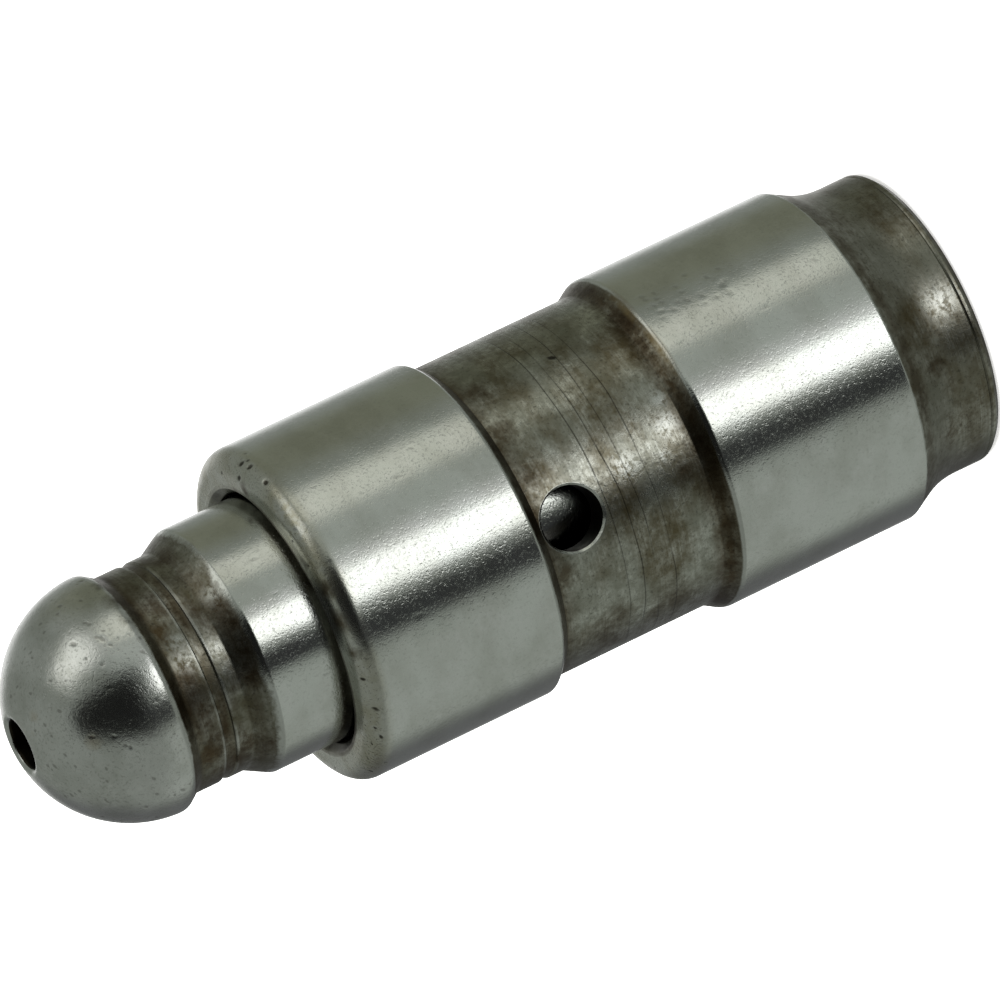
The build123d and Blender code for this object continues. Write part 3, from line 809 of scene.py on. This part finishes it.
# a trail of small chips along the rear land, and tiny dents all round the nose
chips = {"seed": 23, "count": 22, "turn": (-45, -29), "height": (7.2, 10.1), "reach": (0.08, 0.12),
         "depth": (0.011, 0.019), "stretch": (1, 1.8), "lean": (0, 180)}
scatter = {"seed": 11, "count": 26, "turn": (0, 360), "slope": (5, 85), "reach": (0.05, 0.08),
           "depth": (0.008, 0.016), "stretch": (1, 2), "lean": (0, 180)}


def placeHousingDents(s, marks, landed, trail, spread):
    dents = [dentAt(*mark) for mark in marks]
    for turn, height, reach, stretch in landed["places"]:
        inGroove = s["grooveBottom"] < height < s["grooveTop"]
        radius = s["grooveRadius"] if inGroove else landRadius
        dents.append(dentAt(turn, radius, height, 0, reach, landed["depth"], stretch, landed["lean"]))
    rng = random.Random(trail["seed"])
    for k in range(trail["count"]):
        turn, height = rng.uniform(*trail["turn"]), rng.uniform(*trail["height"])
        shape = [rng.uniform(*trail[part]) for part in ("reach", "depth", "stretch", "lean")]
        dents.append(dentAt(turn, landRadius, height, 0, *shape))
    rng = random.Random(spread["seed"])
    for k in range(spread["count"]):
        slope = rng.uniform(*spread["slope"])
        rise = math.radians(slope)
        radius = landRadius - s["nose"] + s["nose"] * math.cos(rise)
        height = housingTop - s["nose"] + s["nose"] * math.sin(rise)
        turn = rng.uniform(*spread["turn"])
        shape = [rng.uniform(*spread[part]) for part in ("reach", "depth", "stretch", "lean")]
        dents.append(dentAt(turn, radius, height, slope, *shape))
    return dents


housing = buildHousing(housingSizes, placeHousingDents(housingSizes, noseMarks, landMarks, chips, scatter))
finishPiece(housing, [makeHousingSteel(housingMarks), oiledShadedSteel], housingZones)
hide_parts("housing")
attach(housing, "housing")
print("housing turned:", triangles(housing), "triangles")

# Ball plunger: heights in millimetres from the housing's base up, radii from the axis, ballStart in radians

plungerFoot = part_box("upper_plunger")[0].z / mm
plungerSizes = {
    "guideRadius": 4.50, "chamfer": 0.15, "grooveRadius": 3.8, "grooveFillet": 0.3, "groove": (14.37, 20.67),
    "collarTop": 22.77,
    "shankRadius": 4.39, "shankTop": 27.2, "neckFillet": 0.25, "neckRadius": 3.9, "neckBottom": 28.1,
    "clipGroove": (28.72, 0.42, 0.07, 0.03), "neckTop": 30.08, "ballFillet": 0.3, "ballRadius": 4.26,
    "ballCentre": 30.55, "edgeHeight": 30.58, "edge": 0.45, "ballStart": 0.06, "ballPitch": 0.062, "tipHole": 0.87,
    "tipRim": 0.2, "rimSteps": 6, "reservoirRadius": 2.9, "reservoirTop": 24.22, "drillPoint": 25.41,
    "oilAndShadeTo": 0.965,                   # share of the ball's radius where the tip hole's oiled wall, painted dark as shade, ends
    "feedHole": {"radius": 0.6, "height": 17.57, "from": 2, "to": 5, "corners": 32},
    "rows": {"dent": 0.1, "neck": 0.15, "shank": 0.3, "hidden": 1.2}, "segments": 460,
}
plungerMarks = {
    "ragged": 0.34, "shankEdge": 27.36, "ballEdge": 30.47,
    "bakedBands": ((27.7, 28.1, 0.45), (29.9, 30.5, 0.8), (28.76, 29.1, 0.85)),      # from, to and density
    "bakedShare": 0.9, "bakedSpots": (
        (-84, 4.15, 27.7, 0.6), (-70, 4.2, 27.6, 0.45), (-96, 4.1, 27.8, 0.4), (-58, 3.9, 29.8, 0.5),
        (-84, 3.9, 29.75, 0.4), (-128, 3.9, 29.5, 0.7), (-132, 3.9, 28.4, 0.6), (-146, 4.0, 29.0, 0.9)),
    "wornShare": 0.55, "wornSpots": (
        (-54, 4.2, 27.65, 0.5), (-77, 3.9, 28.4, 0.5), (-76, 3.9, 29.5, 0.5), (-66, 3.9, 29.45, 0.4),
        (-88, 3.95, 28.3, 0.35)),
    "brightLips": ((28.63, 28.735), (29.13, 29.22)),
    "edgeSpots": ((-50, 4.22, 30.5, 0.5), (-35, 4.2, 30.4, 0.45), (-20, 4.2, 30.4, 0.4)),
    "tan": "#a5977a", "tanShare": 0.4,
    "tanSpots": ((-71, 1.5, 34.47, 0.12), (-60, 1.9, 34.3, 0.25), (-95, 3.2, 33.3, 0.3)),
}


def buildPlunger(s, dents):
    ball, centre = s["ballRadius"], s["ballCentre"]
    edgeRadius = math.sqrt(ball ** 2 - (centre - s["edgeHeight"]) ** 2)
    clipBottom, clipWidth, clipDepth, clipLip = s["clipGroove"]
    low, high = s["groove"]
    outside = [
        (s["reservoirRadius"], plungerFoot), (s["guideRadius"] - s["chamfer"], plungerFoot),
        (s["guideRadius"], plungerFoot + s["chamfer"]), (s["guideRadius"], low - s["chamfer"]),
        (s["guideRadius"] - s["chamfer"], low), (s["grooveRadius"], low, s["grooveFillet"]),
        (s["grooveRadius"], high, s["grooveFillet"]), (s["guideRadius"] - s["chamfer"], high),
        (s["guideRadius"], high + s["chamfer"]), (s["guideRadius"], s["collarTop"]),
        (s["shankRadius"], s["collarTop"]),
        (s["shankRadius"], s["shankTop"], s["neckFillet"]), (s["neckRadius"], s["neckBottom"], s["neckFillet"]),
        (s["neckRadius"], clipBottom, clipLip), (s["neckRadius"] - clipDepth, clipBottom + clipLip, 0.02),
        (s["neckRadius"] - clipDepth, clipBottom + clipWidth - clipLip, 0.02),
        (s["neckRadius"], clipBottom + clipWidth, clipLip),
        (s["neckRadius"], s["neckTop"], s["ballFillet"]), (edgeRadius, s["edgeHeight"], s["edge"]),
    ]
    # the ball runs from just above its edge to the rounded rim of the tip hole
    rim = s["tipRim"]
    rimCentre = Vector((s["tipHole"] + rim, 0))
    rimCentre.y = math.sqrt((ball - rim) ** 2 - rimCentre.x ** 2)
    start = math.asin((s["edgeHeight"] - centre) / ball) + s["ballStart"]
    end = math.atan2(rimCentre.y, rimCentre.x)
    steps = math.ceil(ball * (end - start) / s["ballPitch"])
    for k in range(steps + 1):
        angle = start + (end - start) * k / steps
        outside.append((ball * math.cos(angle), centre + ball * math.sin(angle)))
    for k in range(1, s["rimSteps"] + 1):
        angle = end + (math.pi - end) * k / s["rimSteps"]
        outside.append((rimCentre.x + rim * math.cos(angle), centre + rimCentre.y + rim * math.sin(angle)))
    outside += [(s["tipHole"], s["drillPoint"]), (s["reservoirRadius"], s["reservoirTop"]),
                (s["reservoirRadius"], plungerFoot)]

    def pitchAt(point):
        drilled = point.x < s["tipHole"] + 0.01 or point.y < s["drillPoint"] and point.x < s["shankRadius"] - 0.5
        if drilled or point.y < s["collarTop"] + 1.6:
            return s["rows"]["hidden"]
        if isDented(point.y, dents):
            return s["rows"]["dent"]
        return s["rows"]["shank" if point.y < s["shankTop"] - 0.3 else "neck"]
    piece = spin("ball_plunger", turnedOutline(outside, pitchAt)[:-1], s["segments"], closed=True)
    # the feed hole goes through the wall on the +Y side
    feed = s["feedHole"]
    across = [Vector((0, feed["from"])), Vector((feed["radius"], feed["from"])),
              Vector((feed["radius"], feed["to"])), Vector((0, feed["to"]))]
    cutter = spin("feed_hole_cutter", across, feed["corners"])
    lay = Matrix.Translation((0, 0, feed["height"] * mm)) @ Matrix.Rotation(math.radians(-90), 4, "X")
    cutter.data.transform(lay)
    drill(piece, cutter)
    pressDents(piece, dents)
    return piece


# the drilled reservoir and tip hole are wet with oil and painted dark as shade
def plungerZones(radius, height, centres):
    s = plungerSizes
    inside = (radius < s["reservoirRadius"] + slack) & (height < s["drillPoint"] + 0.1)
    inside |= (radius < s["tipHole"] + 1.5 * slack) & (height < s["ballCentre"] + s["oilAndShadeTo"] * s["ballRadius"])
    return np.where(inside, 1, 0)


# pits of the ball that the photograph shows, then the marks of the shank: turn, height, reach and stretch
ballMarks = {"depth": 0.02, "lean": 25, "places": (
    (-17, 31.97, 0.09, 1.6), (-43, 32.45, 0.10, 1.8), (-50, 31.65, 0.11, 1.8), (-54, 32.39, 0.07, 1.2),
    (-61, 32.08, 0.07, 1.3), (-71, 34.47, 0.08, 1.0), (-83, 34.2, 0.07, 1.2), (-116, 34.49, 0.08, 1.2),
    (-95, 32.7, 0.06, 1.3), (-103, 32.34, 0.07, 1.5), (-122, 33.23, 0.07, 1.3), (-111, 33.92, 0.07, 1.4),
)}
shankMarks = {"depth": 0.012, "lean": 80, "places": (
    (-77, 25.7, 0.07, 1.0), (-67, 25.9, 0.09, 1.2), (-49, 25.9, 0.07, 4.0), (-109, 25.4, 0.07, 1.5),
)}
# fine pits all over the ball: "sine" is their height above its centre as a share of its radius
ballScatter = {"seed": 4, "count": 110, "sine": (0.0, 0.94), "turn": (0, 360), "reach": (0.045, 0.085),
               "depth": (0.006, 0.016), "stretch": (1, 2), "lean": (0, 60)}


def pitAt(s, turn, sine, *shape):
    radius, height = s["ballRadius"] * math.sqrt(1 - sine ** 2), s["ballCentre"] + s["ballRadius"] * sine
    return dentAt(turn, radius, height, math.degrees(math.asin(sine)), *shape)


def placePlungerDents(s, pits, scratches, spread):
    dents = []
    for turn, height, reach, stretch in pits["places"]:
        sine = (height - s["ballCentre"]) / s["ballRadius"]
        dents.append(pitAt(s, turn, sine, reach, pits["depth"], stretch, pits["lean"]))
    for turn, height, reach, stretch in scratches["places"]:
        dents.append(dentAt(turn, s["shankRadius"], height, 0, reach, scratches["depth"], stretch, scratches["lean"]))
    rng = random.Random(spread["seed"])
    for k in range(spread["count"]):
        sine, turn = rng.uniform(*spread["sine"]), rng.uniform(*spread["turn"])
        shape = [rng.uniform(*spread[part]) for part in ("reach", "depth", "stretch", "lean")]
        dents.append(pitAt(s, turn, sine, *shape))
    return dents


plunger = buildPlunger(plungerSizes, placePlungerDents(plungerSizes, ballMarks, shankMarks, ballScatter))
finishPiece(plunger, [makePlungerSteel(plungerMarks), oiledShadedSteel], plungerZones)
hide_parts("upper_plunger")
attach(plunger, "upper_plunger")
print("ball plunger turned:", triangles(plunger), "triangles")

# Springs: the wound wire stands on its lower end and rides on its body
springs = {
    "wound_plunger_spring": {"node": "plunger_spring", "body": "housing", "joint": "plunger_slide"},
    "wound_check_ball_spring": {"node": "check_ball_spring", "body": "lower_plunger", "joint": "check_ball_lift"},
}


def windSpring(name, spring):
    wire = bpy.data.objects.new(name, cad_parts[spring["node"]].data.copy())
    bpy.context.scene.collection.objects.link(wire)
    wire.data.materials.clear()
    wire.data.materials.append(springWire)
    wire.data.shade_smooth()
    wire.data.set_sharp_from_angle(angle=math.radians(sharpAngle["wire"]))
    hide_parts(spring["node"])
    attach(wire, spring["body"])
    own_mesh(wire)


for name, spring in springs.items():
    windSpring(name, spring)

# The other inner pieces keep their CAD shape and get their real finishes
innerFinishes = {
    "lower_plunger": groundSteel, "check_ball": lappedSteel, "ball_cage": drawnSheet, "retaining_ring": springWire,
}
for node, finish in innerFinishes.items():
    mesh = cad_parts[node].data
    for slot in range(max(1, len(mesh.materials))):
        if slot < len(mesh.materials):
            mesh.materials[slot] = finish
        else:
            mesh.materials.append(finish)
print("inner pieces finished")
